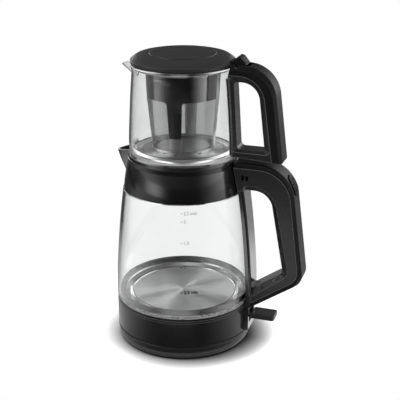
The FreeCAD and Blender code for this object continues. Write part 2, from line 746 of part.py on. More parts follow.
def pot_skin(inner, outer, z_low, z_high, half):
    """Piece of a shell round the teapot glass on the handle side, between two offsets from the glass."""
    foot, low, (middle, high) = pot_line(inner)
    path = [foot] + pot_line(outer) + [high, (middle, low)]
    return lathe(path).common(block(20, 80, -half, half, z_low, z_high))


def teapot_handle():
    hinge_x, hinge_z = LID_HINGE
    side = pot_line(POT_PAD)
    glass_space = lathe([(0, 200), (side[0][0], 200)] + side + [(58.0, 320.0), (58.0, 330), (0, 330)])
    opening = grip_opening(POT_OPENING, POT_OPENING_SIDE)
    slot_reach = 13.6
    tab_way = block(50.0, 58.7, -TAB_HALF - 0.6, TAB_HALF + 0.6, 321.4, 330)
    tab_way = tab_way.fuse(block(58.6, hinge_x + slot_reach, -TAB_HALF - 0.6, TAB_HALF + 0.6, hinge_z, 330))
    tab_sweep = axle(hinge_x, hinge_z, slot_reach, -TAB_HALF - 0.6, TAB_HALF + 0.6)
    tab_sweep = tab_sweep.common(block(58.6, 90, -20, 20, 311.4, 330))
    cradles = []
    for low in (TAB_HALF, -12.8):
        high = low + 4.8
        cradles.append(axle(hinge_x, hinge_z, LID_PIN_R + RUNNING_GAP, low, high))
        half = LID_PIN_R + RUNNING_GAP
        cradles.append(block(hinge_x - half, hinge_x + half, low, high, hinge_z, 330))

    frame = slab(FRAME_OUTLINE, -HANDLE_HALF, HANDLE_HALF)
    flange = pot_skin(POT_PAD, 3.0, 227.2, 311.0, 17.5)
    frame = joined([frame, flange]).cut([glass_space, opening, tab_sweep])

    shell = bevelled(SHELL_OUTLINE, SHELL_FLAT_HALF, SHELL_SIDE_OUTLINE, HANDLE_HALF)
    inside = slab(FRAME_OUTLINE, -HANDLE_HALF - 1, HANDLE_HALF + 1)
    shell = shell.cut([inside, glass_space, tab_way, tab_sweep] + cradles)
    pad = pot_skin(0.0, POT_PAD, 229.0, 310.0, 15.0)
    return {"teapot_handle_frame": frame, "teapot_handle_shell": shell, "teapot_handle_bond": pad}


# ---- infuser -------------------------------------------------------------------------------------------------------
SHEET = 0.5
BAND_LOW_Z = 286.0
BASKET_LOW_Z = 227.8
STRIP_TURN = 5.0  # degrees that the four strips stand round from the X and Y axes


def basket_radius(z):
    """Outer radius of the infuser's tapered wall."""
    return 34.6 + (39.8 - 34.6) * (z - BASKET_LOW_Z) / (BAND_LOW_Z - BASKET_LOW_Z)


def cone_wall(z_low, z_high, outer_inset, thickness):
    low = basket_radius(z_low) - outer_inset
    high = basket_radius(z_high) - outer_inset
    return lathe([(low - thickness, z_low), (low, z_low), (high, z_high), (high - thickness, z_high)])


def strip_windows():
    """Plates that keep four upright strips of the basket's wall, with rounded window corners on top."""
    half_top, half_low, corner = 8.2, 6.0, 4.0
    turn = corner * math.sqrt(0.5)
    path = [
        (-half_low, BASKET_LOW_Z + 2),
        (half_low, BASKET_LOW_Z + 2),
        (half_top, BAND_LOW_Z - corner),
        ((half_top + corner - turn, BAND_LOW_Z - corner + turn), (half_top + corner, BAND_LOW_Z)),
        (-half_top - corner, BAND_LOW_Z),
        ((-half_top - corner + turn, BAND_LOW_Z - corner + turn), (-half_top, BAND_LOW_Z - corner)),
    ]
    across_x = path_edges(path, lambda a, z: point(-50, a, z))
    across_y = path_edges(path, lambda a, z: point(a, -50, z))
    keep_x = Part.Face(Part.Wire(across_x)).extrude(point(100, 0, 0))
    keep_y = Part.Face(Part.Wire(across_y)).extrude(point(0, 100, 0))
    for plate in (keep_x, keep_y):
        plate.rotate(point(0, 0, 0), point(0, 0, 1), STRIP_TURN)
    return [keep_x, keep_y]


def infuser():
    flange = lathe(
        [
            (39.8 - SHEET, BAND_LOW_Z),
            (39.8, BAND_LOW_Z),
            (40.5, 307.0),
            (40.9, 313.6),
            ((41.4, 315.6), (43.4, 316.4)),
            (53.0, 317.4),
            ((53.8, 318.0), (54.1, 320.5)),
            (56.6, 320.6),
            ((57.0, 321.0), (56.6, 321.4)),
            (54.0, 321.3),
            ((53.2, 318.8), (52.4, 318.0)),
            (43.2, 317.0),
            ((41.0, 316.0), (40.4, 313.7)),
            (40.0, 307.0),
        ]
    )
    wall = cone_wall(BASKET_LOW_Z, BAND_LOW_Z, 0, SHEET)
    keep_x, keep_y = strip_windows()
    strips = [wall.common(keep_x), wall.common(keep_y)]
    foot = lathe(
        [
            (29.0, BASKET_LOW_Z),
            (basket_radius(BASKET_LOW_Z), BASKET_LOW_Z),
            (basket_radius(231.0), 231.0),
            (basket_radius(231.0) - SHEET, 231.0),
            (basket_radius(BASKET_LOW_Z + SHEET) - SHEET, BASKET_LOW_Z + SHEET),
            (29.0, BASKET_LOW_Z + SHEET),
        ]
    )
    foot = foot.cut([keep_x, keep_y])
    strips = [strip for pair in strips for strip in pair.Solids]
    side = cone_wall(BASKET_LOW_Z + 0.9, BAND_LOW_Z + 1.0, SHEET, 0.3)
    side = side.cut(flange)
    bottom = post(0, 0, 33.2, BASKET_LOW_Z + SHEET, BASKET_LOW_Z + SHEET + 0.3)
    return {
        "infuser_rim": flange,
        "infuser_strips": Part.makeCompound(strips),
        "infuser_foot": foot,
        "infuser_side_mesh": side,
        "infuser_bottom_mesh": bottom,
    }


# ---- teapot lid --------------------------------------------------------------------------------------------------------
def teapot_lid():
    hinge_x, hinge_z = LID_HINGE
    shell = lathe(
        [
            (0, 329.6),
            (36.4, 329.6),
            (36.4, 332.0),
            ((44.4, 331.2), (50.5, 329.8)),
            ((53.2, 328.2), (55.4, 326.4)),
            (56.4, 325.9),
            (LID_R, 325.1),
            (56.8, LID_RIM_Z),
            (54.8, LID_RIM_Z),
            (54.8, 324.4),
            ((53.0, 326.0), (50.4, 327.2)),
            (0, 327.2),
        ]
    )
    centre = lathe([(0, 329.6), (36.1, 329.6), (36.1, 331.6), (35.3, 332.2), ((18.0, 332.8), (4.0, 333.0)), (0, 333.0)])
    under = post(0, 0, 51.6, 322.8, 324.4)
    posts = around(post(48.0, 0, 2.0, 324.4, 328.0), (30, 120, 210, 300))
    under = joined([under] + posts).cut(shell)
    seal = lathe([(51.6, 322.6), (54.8, 322.6), (54.8, 324.0), (51.6, 324.0)])

    arm = [
        (55.3, 322.9, 0),
        (55.3, 328.2, 0),
        (58.7, 327.8, 1.5),
        (63.4, 333.3, 2.6),
        (67.0, 332.1, 1.7),
        (73.4, 324.4, 0.6),
        (68.0, 322.6, 0.6),
        (60.0, 319.8, 0),
        (57.8, 322.9, 0),
    ]
    tab = slab(arm, -TAB_HALF, TAB_HALF).fuse(axle(hinge_x, hinge_z, 3.0, -TAB_HALF, TAB_HALF))
    ridges = []
    for step in range(5):
        share = 0.14 + 0.17 * step
        ridges.append(axle(67.2 + 6.0 * share, 331.9 - 7.3 * share, 0.55, -6.6, 6.6))
    tab = joined([tab] + ridges).cut([shell, axle(hinge_x, hinge_z, LID_PIN_R, -TAB_HALF - 1, TAB_HALF + 1)])
    return {
        "lid_shell": shell,
        "lid_centre_disc": centre,
        "lid_under_plate": under,
        "lid_guide_ring": tube(36.6, 38.2, 316.0, 322.8),
        "lid_seal": seal,
        "lid_thumb_tab": tab,
        "lid_hinge_pin": axle(hinge_x, hinge_z, LID_PIN_R, -12.5, 12.5),
    }


# ---- export ---------------------------------------------------------------------------------------------------------------
def main():
    os.makedirs("parts", exist_ok=True)
    makers = (
        power_base,
        coupler,
        kettle_foot,
        switch_lever,
        kettle_glass,
        collar,
        kettle_handle,
        lid_button,
        kettle_lid,
        teapot_glass,
        teapot_handle,
        infuser,
        teapot_lid,
    )
    for maker in makers:
        for name, shape in maker().items():
            shape.exportStep(os.path.join("parts", name + ".step"))
            bodies = len(shape.Solids)
            print(name, "solids", bodies, "valid", shape.isValid(), "volume", round(shape.Volume))


main()
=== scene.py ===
import math

import bpy
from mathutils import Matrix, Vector


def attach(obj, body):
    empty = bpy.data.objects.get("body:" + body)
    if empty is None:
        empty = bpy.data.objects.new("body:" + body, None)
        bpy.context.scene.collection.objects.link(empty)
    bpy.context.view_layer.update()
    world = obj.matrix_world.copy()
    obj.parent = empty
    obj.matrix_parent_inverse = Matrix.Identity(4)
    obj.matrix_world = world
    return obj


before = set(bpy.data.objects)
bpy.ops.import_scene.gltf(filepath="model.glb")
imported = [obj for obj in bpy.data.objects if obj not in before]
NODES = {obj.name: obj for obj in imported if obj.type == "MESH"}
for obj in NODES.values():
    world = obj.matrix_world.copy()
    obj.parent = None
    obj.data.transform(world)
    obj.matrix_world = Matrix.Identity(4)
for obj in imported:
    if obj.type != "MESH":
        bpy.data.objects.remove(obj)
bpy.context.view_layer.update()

MM = 0.001


# ---- node trees ------------------------------------------------------------------------------------------
NOISE_LOW, NOISE_HIGH = 0.3, 0.7  # nearly all values of a noise lie between these
ANY_BOUNCE = 0.5  # a ray's depth is above this after one bounce or more
ONE_CROSSING = 1.5  # and below this until it crosses a second surface
SPUN_ANISOTROPY = 0.9
SPUN_TURN = 0.25  # a quarter turn lays the grooves round the axis


def grey(value):
    """Colour with the same value in red, green and blue."""
    return (value, value, value)


def shaded(tint, share):
    """Darker form of a tint."""
    return tuple(share * c for c in tint)


class Shader:
    """The node tree of a material or world, with short calls for the nodes that this scene uses."""

    def __init__(self, name, world=False):
        self.owner = bpy.data.worlds.new(name) if world else bpy.data.materials.new(name)
        self.owner.use_nodes = True
        self.tree = self.owner.node_tree
        self.tree.nodes.clear()
        self.out = self.node("ShaderNodeOutputWorld" if world else "ShaderNodeOutputMaterial")

    def node(self, kind, **settings):
        made = self.tree.nodes.new(kind)
        for key, value in settings.items():
            setattr(made, key, value)
        return made

    def link(self, a, b):
        self.tree.links.new(a, b)

    def set_or_link(self, socket, value):
        if isinstance(value, bpy.types.NodeSocket):
            self.link(value, socket)
        else:
            socket.default_value = value

    def math(self, operation, a, b=None):
        made = self.node("ShaderNodeMath", operation=operation)
        self.set_or_link(made.inputs[0], a)
        if b is not None:
            self.set_or_link(made.inputs[1], b)
        return made.outputs[0]

    def vector(self, *numbers):
        made = self.node("ShaderNodeCombineXYZ")
        for socket, number in zip(made.inputs, numbers):
            self.set_or_link(socket, number)
        return made.outputs[0]

    def place(self):
        """Position in the row frame, in metres: every object here has its origin there."""
        return self.node("ShaderNodeTexCoord").outputs["Object"]

    def parts(self):
        """X, Y and Z of the place."""
        made = self.node("ShaderNodeSeparateXYZ")
        self.link(self.place(), made.inputs[0])
        return made.outputs

    def axis_distance(self):
        """Distance of the place from the Z axis."""
        x, y, _ = self.parts()
        made = self.node("ShaderNodeVectorMath", operation="LENGTH")
        self.link(self.vector(x, y), made.inputs[0])
        return made.outputs["Value"]

    def noise(self, scale, detail=2.0, vector=None, rough=0.5):
        made = self.node("ShaderNodeTexNoise")
        made.inputs["Scale"].default_value = scale
        made.inputs["Detail"].default_value = detail
        made.inputs["Roughness"].default_value = rough
        self.link(vector if vector is not None else self.place(), made.inputs["Vector"])
        return made.outputs["Fac"]

    def remap(self, value, low, high, out_low, out_high):
        made = self.node("ShaderNodeMapRange")
        self.link(value, made.inputs["Value"])
        limits = {"From Min": low, "From Max": high, "To Min": out_low, "To Max": out_high}
        for key, number in limits.items():
            made.inputs[key].default_value = number
        return made.outputs["Result"]

    def beyond(self, value, middle, reach):
        """1 where a value is farther than reach from the middle."""
        away = self.math("ABSOLUTE", self.math("SUBTRACT", value, middle))
        return self.math("GREATER_THAN", away, reach)

    def spread(self, noise, low, high):
        """A noise, with its values spread from low to high."""
        return self.remap(noise, NOISE_LOW, NOISE_HIGH, low, high)

    def azimuth_level(self, stops):
        """Grey level by direction from the Z axis; stops are (degrees from +X towards +Y, level)."""
        x, y, _ = self.parts()
        made = self.node("ShaderNodeValToRGB")
        elements = made.color_ramp.elements
        while len(elements) < len(stops):
            elements.new(0.5)
        for element, (degrees, level) in zip(elements, stops):
            element.position = (degrees + 180) / 360
            element.color = (*grey(level), 1.0)
        share = self.remap(self.math("ARCTAN2", y, x), -math.pi, math.pi, 0.0, 1.0)
        self.link(share, made.inputs["Fac"])
        return made.outputs["Color"]

    def mix_colour(self, share, a, b, blend="MIX"):
        made = self.node("ShaderNodeMix", data_type="RGBA", blend_type=blend)
        self.set_or_link(made.inputs["Factor"], share)
        self.set_or_link(made.inputs["A"], (*a, 1.0) if isinstance(a, tuple) else a)
        self.set_or_link(made.inputs["B"], (*b, 1.0) if isinstance(b, tuple) else b)
        return made.outputs["Result"]

    def mix_number(self, share, a, b):
        made = self.node("ShaderNodeMix", data_type="FLOAT")
        for key, value in (("Factor", share), ("A", a), ("B", b)):
            self.set_or_link(made.inputs[key], value)
        return made.outputs["Result"]

    def mix_shader(self, share, a, b):
        """Shader a where share is 0, and b where it is 1."""
        made = self.node("ShaderNodeMixShader")
        for socket, output in zip(made.inputs, (share, a.outputs[0], b.outputs[0])):
            self.link(output, socket)
        return made

    def rounded_normal(self, radius):
        """Normal that turns smoothly over edges of the given radius."""
        made = self.node("ShaderNodeBevel", samples=8)
        made.inputs["Radius"].default_value = radius
        return made.outputs["Normal"]

    def bump(self, height, strength, distance, edge=0.0):
        """Bumped normal, over edges rounded by the given radius."""
        made = self.node("ShaderNodeBump")
        made.inputs["Strength"].default_value = strength
        made.inputs["Distance"].default_value = distance
        self.link(height, made.inputs["Height"])
        if edge:
            self.link(self.rounded_normal(edge), made.inputs["Normal"])
        return made.outputs["Normal"]

    def principled(self, **values):
        made = self.node("ShaderNodeBsdfPrincipled")
        for key, value in values.items():
            socket = made.inputs[key.replace("_", " ")]
            if isinstance(value, tuple) and len(value) == 3 and socket.type == "RGBA":
                value = (*value, 1.0)
            self.set_or_link(socket, value)
        return made

    def spin(self, shader):
        """Grooves round the Z axis, as on metal that was turned about it."""
        shader.inputs["Anisotropic"].default_value = SPUN_ANISOTROPY
        shader.inputs["Anisotropic Rotation"].default_value = SPUN_TURN
        tangent = self.node("ShaderNodeTangent", direction_type="RADIAL", axis="Z")
        self.link(tangent.outputs[0], shader.inputs["Tangent"])

    def emission(self, colour, strength=1.0):
        made = self.node("ShaderNodeEmission")
        self.link(colour, made.inputs["Color"])
        self.set_or_link(made.inputs["Strength"], strength)
        return made

    def mirrored(self):
        """1 for rays that have left a glossy surface."""
        path = self.node("ShaderNodeLightPath")
        return self.math("GREATER_THAN", path.outputs["Glossy Depth"], ANY_BOUNCE)

    def shown(self):
        """1 for rays that show the white backdrop: the camera's, and those that only went through glass."""
        path = self.node("ShaderNodeLightPath")
        unmirrored = self.math("SUBTRACT", 1.0, self.mirrored())
        straight = self.math("MULTIPLY", path.outputs["Is Transmission Ray"], unmirrored)
        return self.math("MAXIMUM", path.outputs["Is Camera Ray"], straight)

    def back_side(self):
        """1 where a surface is seen from its inner side."""
        return self.node("ShaderNodeNewGeometry").outputs["Backfacing"]

    def finish(self, shader):
        self.link(shader.outputs[0], self.out.inputs["Surface"])
        return self.owner


# ---- light tables ----------------------------------------------------------------------------------------
# brightness that glossy surfaces see, by direction in degrees from +X towards +Y
HEEL_PAINTED_GLOW = [  # painted glow: emission on the teapot glass, standing in for light that runs on inside its thick foot
    (-180, 0.40),
    (-160, 0.19),
    (-147, 0.32),
    (-133, 1.20),
    (-121, 1.20),
    (-109, 0.80),
    (-99, 0.30),
    (-88, 0.16),
    (-54, 0.16),
    (-43, 0.30),
    (-33, 0.80),
    (-21, 1.20),
    (-9, 1.20),
    (5, 0.32),
    (20, 0.19),
    (40, 0.96),
    (80, 0.50),
    (95, 0.22),
    (125, 0.22),
    (140, 0.50),
    (165, 0.40),
    (180, 0.40),
]
NEAR_GLOW = [  # floor near the object
    (-180, 0.85),
    (-165, 0.90),
    (-150, 0.80),
    (-137, 0.62),
    (-126, 0.42),
    (-114, 0.20),
    (-100, 0.06),
    (-50, 0.05),
    (-41, 0.14),
    (-30, 0.32),
    (-16, 0.62),
    (-2, 0.90),
    (20, 1.10),
    (38, 0.90),
    (50, 1.0),
    (72, 1.0),
    (84, 0.25),
    (140, 0.25),
    (155, 0.40),
    (180, 0.85),
]
FRONT_GLOW = [  # floor before the object
    (-180, 0.0),
    (-110, 0.0),
    (-98, 1.3),
    (-64, 1.3),
    (-50, 0.0),
    (180, 0.0),
]
FOOT_GLOW = [  # floor far out, and the foot of the surround
    (-180, 0.24),
    (-165, 0.36),
    (-150, 0.34),
    (-137, 0.15),
    (-121, 0.02),
    (-105, 0.006),
    (-51, 0.006),
    (-43, 0.03),
    (-30, 0.15),
    (-16, 0.38),
    (-2, 0.58),
    (14, 0.76),
    (32, 0.89),
    (60, 0.50),
    (90, 0.25),
    (128, 0.08),
    (140, 0.06),
    (155, 0.05),
    (172, 0.12),
    (180, 0.24),
]
CARD_GLOW = [  # the surround above its foot
    (-180, 0.02),
    (-173, 0.08),
    (-165, 0.40),
    (-148, 0.34),
    (-135, 0.12),
    (-121, 0.02),
    (-105, 0.006),
    (-51, 0.006),
    (-43, 0.03),
    (-30, 0.15),
    (-16, 0.38),
    (-2, 0.58),
    (14, 0.76),
    (32, 0.89),
    (60, 0.50),
    (90, 0.25),
    (128, 0.25),
    (150, 0.02),
    (180, 0.02),
]
LOW_GLOW = [
    (-180, 0.05),
    (-165, 0.06),
    (-150, 0.30),
    (-137, 1.25),
    (-125, 1.60),
    (-115, 1.0),
    (-106, 0.25),
    (-96, 0.015),
    (-44, 0.015),
    (-27, 0.14),
    (-16, 0.36),
    (-5, 0.70),
    (7, 1.1),
    (21, 1.3),
    (40, 0.5),
    (70, 0.10),
    (150, 0.10),
    (180, 0.05),
]
MID_GLOW = [
    (-180, 0.4),
    (-150, 0.6),
    (-110, 0.12),
    (-60, 0.05),
    (-46, 0.06),
    (-37, 0.15),
    (-27, 0.40),
    (-14, 0.90),
    (30, 2.2),
    (76, 2.5),
    (90, 0.80),
    (100, 0.10),
    (117, 0.10),
    (125, 1.3),
    (135, 2.3),
    (155, 2.3),
    (168, 0.4),
    (180, 0.4),
]
HIGH_GLOW = [
    (-180, 0.5),
    (-160, 1.0),
    (-148, 2.6),
    (-135, 2.8),
    (-125, 1.2),
    (-110, 0.1),
    (-50, 0.1),
    (0, 0.4),
    (40, 0.5),
    (80, 0.15),
    (109, 0.10),
    (138, 0.15),
    (180, 0.5),
]


# ---- plastics, rubber and seals --------------------------------------------------------------------------
FINE_GRAIN = 2600.0  # scales of the noise that makes a moulded surface's grain
COARSE_GRAIN = 2200.0
SPECK_CELLS = 0.16  # cells that may hold a speck, for each grain
SPECK_PICK = 0.56  # the specks gather where a wide noise is above this
SPECK_GAIN = 12
# painted reflection of the white floor: below the height foot a plastic fades over this span to a paler
# grey
FOOT_FADE = 1.0 * MM
FOOT_PAINTED_LIGHT = 0.040
EDGE_DOTS = (0.999, 0.93)  # rounded normal times true normal: on a face, and on an edge
SLOTS_X = 74.7 * MM  # middle of the two slots in the kettle's handle
SLOTS_Z = 202.0 * MM
SLOTS_REACH = 4.4 * MM
CREASE_SPAN = (0.36, 0.66)  # values of the noise between a dark crease and a bright one


def painted_shine_share(s, radius):
    """Share of the painted edge highlight: 1 on a rounded edge, 0 on the faces beside it and round the two
    slots in the handle.
    """
    likeness = s.node("ShaderNodeVectorMath", operation="DOT_PRODUCT")
    s.link(s.rounded_normal(radius), likeness.inputs[0])
    s.link(s.node("ShaderNodeNewGeometry").outputs["Normal"], likeness.inputs[1])
    share = s.remap(likeness.outputs["Value"], *EDGE_DOTS, 0.0, 1.0)
    x, _, z = s.parts()
    off_slots = s.math("MAXIMUM", s.beyond(x, SLOTS_X, SLOTS_REACH), s.beyond(z, SLOTS_Z, SLOTS_REACH))
    return s.math("MULTIPLY", share, off_slots)


def moulded_plastic(
    name,
    dark,
    light,
    rough,
    grain_depth,
    grain_scale=FINE_GRAIN,
    spread=0.05,
    gloss=0.5,
    edge=0.0,
    painted_edge_shine=0.0,
    speck=0.0,
    foot=0.0,
):
    """Moulded plastic: fine grain, uneven gloss and shade, and edges rounded to radius edge.

    shine is the grey of the painted highlight on those edges, speck the size of pale specks,
    and below the height foot it is painted paler, a painted reflection of the white floor.
    """
    s = Shader(name)
    cloud = s.noise(scale=28.0, detail=3.0)
    colour = s.mix_colour(cloud, grey(dark), grey(light))
    if speck:
        cells = s.node("ShaderNodeTexVoronoi")
        cells.inputs["Scale"].default_value = SPECK_CELLS * grain_scale
        s.link(s.place(), cells.inputs["Vector"])
        dots = s.math("LESS_THAN", cells.outputs["Distance"], speck)
        gathered = s.math("GREATER_THAN", s.noise(scale=160.0, detail=1.0), SPECK_PICK)
        picked = s.math("MULTIPLY", dots, gathered)
        colour = s.mix_colour(picked, colour, grey(SPECK_GAIN * light))
    # painted highlight: rounded edges are painted lighter, standing in for the light they catch
    if painted_edge_shine:
        colour = s.mix_colour(painted_shine_share(s, edge), colour, grey(painted_edge_shine))
    # painted reflection of the white floor: the colour is paler below the height foot
    if foot:
        _, _, z = s.parts()
        colour = s.mix_colour(s.remap(z, foot, foot + FOOT_FADE, 1.0, 0.0), colour, grey(FOOT_PAINTED_LIGHT))
    shader = s.principled(
        Base_Color=colour,
        Roughness=s.spread(cloud, rough - spread, rough + spread),
        Specular_IOR_Level=gloss,
        Normal=s.bump(s.noise(scale=grain_scale, rough=0.6), strength=0.5, distance=grain_depth, edge=edge),
    )
    return s.finish(shader)


def gloss_plastic(name, shade, rough, edge):
    """Polished black plastic with faint hairlines."""
    s = Shader(name)
    cloud = s.noise(scale=40.0, detail=3.0)
    shader = s.principled(
        Base_Color=s.mix_colour(cloud, grey(shade), grey(1.6 * shade)),
        Roughness=s.spread(cloud, rough, rough + 0.03),
        Coat_Weight=1.0,
        Coat_Roughness=0.04,
        Specular_IOR_Level=1.0,
        Normal=s.bump(s.noise(scale=900.0), strength=0.06, distance=0.02 * MM, edge=edge),
    )
    return s.finish(shader)


def soft_rubber(name, tint, rough, through):
    """Rubber or silicone with a fine skin; through is how much of it light passes."""
    s = Shader(name)
    shader = s.principled(
        Base_Color=s.mix_colour(s.noise(scale=70.0), shaded(tint, 0.85), tint),
        Roughness=rough,
        Transmission_Weight=through,
        Normal=s.bump(s.noise(scale=1400.0), strength=0.2, distance=0.05 * MM),
    )
    return s.finish(shader)


def crinkled_seal(name, dark, light):
    """Clear seal pressed under the glass: bright and dark creases."""
    s = Shader(name)
    crease = s.remap(s.noise(scale=520.0, detail=4.0, rough=0.6), *CREASE_SPAN, 0.0, 1.0)
    shader = s.principled(
        Base_Color=s.mix_colour(crease, grey(dark), grey(light)),
        Roughness=0.25,
        Normal=s.bump(crease, strength=0.4, distance=0.4 * MM),
    )
    return s.finish(shader)


# ---- metals ----------------------------------------------------------------------------------------------
DRAWN_SHARE = 0.02  # a drawn sheet's lines hardly change along its surface
PLATE_FLAT_R = 58.6 * MM  # the spun middle, then a polished ring, then the crimped rim
PLATE_RING_R = 63.4 * MM
PLATE_RIM_R = 68.0 * MM
PLATE_RIM_FADE = 1.5 * MM
PLATE_FLAT_ROUGH, PLATE_RING_ROUGH, PLATE_RIM_ROUGH = 0.50, 0.12, 0.24
GROOVE_HEIGHT = 0.02  # of the spun grooves, next to the rim's crumples
ROW_STEP = 0.866  # rows of a honeycomb stand closer than its columns
ROWS_BELOW = 2000.0  # keeps a row's number above zero


def sheet_steel(name, tint, rough, spun):
    """Steel sheet: spun round the Z axis where spun is true, drawn along it otherwise."""
    s = Shader(name)
    _, _, z = s.parts()
    lines_at = s.vector(s.math("MULTIPLY", s.axis_distance(), 1.0 if spun else DRAWN_SHARE), 0.0, z)
    lines = s.noise(scale=2600.0, vector=lines_at)
    shader = s.principled(
        Base_Color=s.mix_colour(lines, shaded(tint, 0.86), tint),
        Metallic=1.0,
        Roughness=s.spread(s.noise(scale=35.0, detail=3.0), rough, rough + 0.02),
    )
    if spun:
        s.spin(shader)
    return s.finish(shader)


def plate_steel(name, tint):
    """Heating plate: spun in the middle with a polished ring round it and a crumpled, crimped rim."""
    s = Shader(name)
    radius = s.axis_distance()
    grooves = s.noise(scale=2600.0, vector=s.vector(radius))
    off_flat = s.math("GREATER_THAN", radius, PLATE_FLAT_R)
    off_ring = s.math("GREATER_THAN", radius, PLATE_RING_R)
    rim = s.remap(radius, PLATE_RIM_R, PLATE_RIM_R + PLATE_RIM_FADE, 0.0, 1.0)
    rough = s.math("MULTIPLY", off_flat, PLATE_RING_ROUGH - PLATE_FLAT_ROUGH)
    rough = s.math("ADD", rough, s.math("MULTIPLY", off_ring, PLATE_RIM_ROUGH - PLATE_RING_ROUGH))
    crumple = s.math("MULTIPLY", s.noise(scale=420.0, detail=3.0, rough=0.6), rim)
    height = s.math("ADD", s.math("MULTIPLY", grooves, GROOVE_HEIGHT), crumple)
    spun = s.mix_colour(grooves, shaded(tint, 0.88), tint)
    shader = s.principled(
        Base_Color=s.mix_colour(rim, spun, shaded(tint, 0.32)),
        Metallic=1.0,
        Roughness=s.math("ADD", rough, PLATE_FLAT_ROUGH),
        Normal=s.bump(height, strength=0.6, distance=1.2 * MM),
    )
    s.spin(shader)
    return s.finish(shader)


def perforated_sheet(name, tint, pitch, hole, radius):
    """Steel sheet with a honeycomb of round holes, wrapped at the given radius, or flat where it is 0."""
    s = Shader(name)
    x, y, z = s.parts()
    if radius:
        along, across = s.math("MULTIPLY", s.math("ARCTAN2", y, x), radius), z
    else:
        along, across = x, y
    row = s.math("DIVIDE", across, pitch * ROW_STEP)
    odd = s.math("MODULO", s.math("FLOOR", s.math("ADD", row, ROWS_BELOW)), 2.0)
    column = s.math("ADD", s.math("DIVIDE", along, pitch), s.math("MULTIPLY", odd, 0.5))
    cell_a = s.math("SUBTRACT", s.math("FRACT", column), 0.5)
    cell_b = s.math("MULTIPLY", s.math("SUBTRACT", s.math("FRACT", row), 0.5), ROW_STEP)
    apart = s.math("SQRT", s.math("ADD", s.math("POWER", cell_a, 2.0), s.math("POWER", cell_b, 2.0)))
    steel = s.principled(
        Base_Color=s.mix_colour(s.noise(scale=60.0), shaded(tint, 0.8), tint),
        Metallic=1.0,
        Roughness=0.34,
    )
    open_here = s.math("LESS_THAN", apart, hole / pitch / 2)
    return s.finish(s.mix_shader(open_here, steel, s.node("ShaderNodeBsdfTransparent")))


def small_metal(name, tint, rough):
    """Plain metal of screws, pins, springs and contacts, slightly clouded."""
    s = Shader(name)
    cloud = s.noise(scale=500.0, detail=3.0)
    shader = s.principled(
        Base_Color=s.mix_colour(cloud, shaded(tint, 0.8), tint),
        Metallic=1.0,
        Roughness=s.spread(cloud, rough, rough + 0.1),
        Normal=s.bump(cloud, strength=0.1, distance=0.03 * MM),
    )
    return s.finish(shader)


# ---- glass -----------------------------------------------------------------------------------------------
HEEL_Z = 233.6 * MM  # top of the teapot's thick foot
WALL_GLOW = (0.2, 0.4)  # levels of the painted heel glow between which the wall above the foot begins to show it
EDGE_ON_POWER = 4.0  # a higher power keeps the grey nearer to the glass's outline
SHADOW_TINT = 0.5  # share of its tint that the glass gives to light for other things


def clear_glass(name, tint, edge, ior, heel_z=0.0):
    """Blown glass, greyer where it is seen edge on.  Light for what stands inside goes straight through.

    Where heel_z is given, rays caught in the thick glass below it, or in a wall, end in a painted glow:
    an emission at the levels of the heel glow table, standing in for light that runs on in the glass.
    """
    s = Shader(name)
    weight = s.node("ShaderNodeLayerWeight")
    weight.inputs["Blend"].default_value = 0.5
    grazing = s.math("POWER", weight.outputs["Facing"], EDGE_ON_POWER)
    clear = s.principled(
        Base_Color=s.mix_colour(grazing, tint, edge),
        Roughness=0.0,
        IOR=ior,
        Transmission_Weight=1.0,
    )
    path = s.node("ShaderNodeLightPath")
    through = s.node("ShaderNodeBsdfTransparent")
    through.inputs["Color"].default_value = (*[1 - SHADOW_TINT * (1 - c) for c in tint], 1.0)
    lighting = s.math("MAXIMUM", path.outputs["Is Shadow Ray"], path.outputs["Is Diffuse Ray"])
    glass = s.mix_shader(lighting, clear, through)
    if not heel_z:
        return s.finish(glass)
    _, _, z = s.parts()
    in_wall = s.math("LESS_THAN", path.outputs["Transmission Depth"], ONE_CROSSING)
    in_heel = s.math("LESS_THAN", z, heel_z)
    inside = s.math("MULTIPLY", s.back_side(), s.math("MAXIMUM", in_wall, in_heel))
    # painted glow: caught rays meet an emission instead of the light that would run on in the glass
    trapped = s.math("MULTIPLY", inside, s.mirrored())
    level = s.azimuth_level(HEEL_PAINTED_GLOW)
    painted_glow = s.emission(level, s.math("MAXIMUM", in_heel, s.remap(level, *WALL_GLOW, 0.0, 1.0)))
    return s.finish(s.mix_shader(trapped, glass, painted_glow))


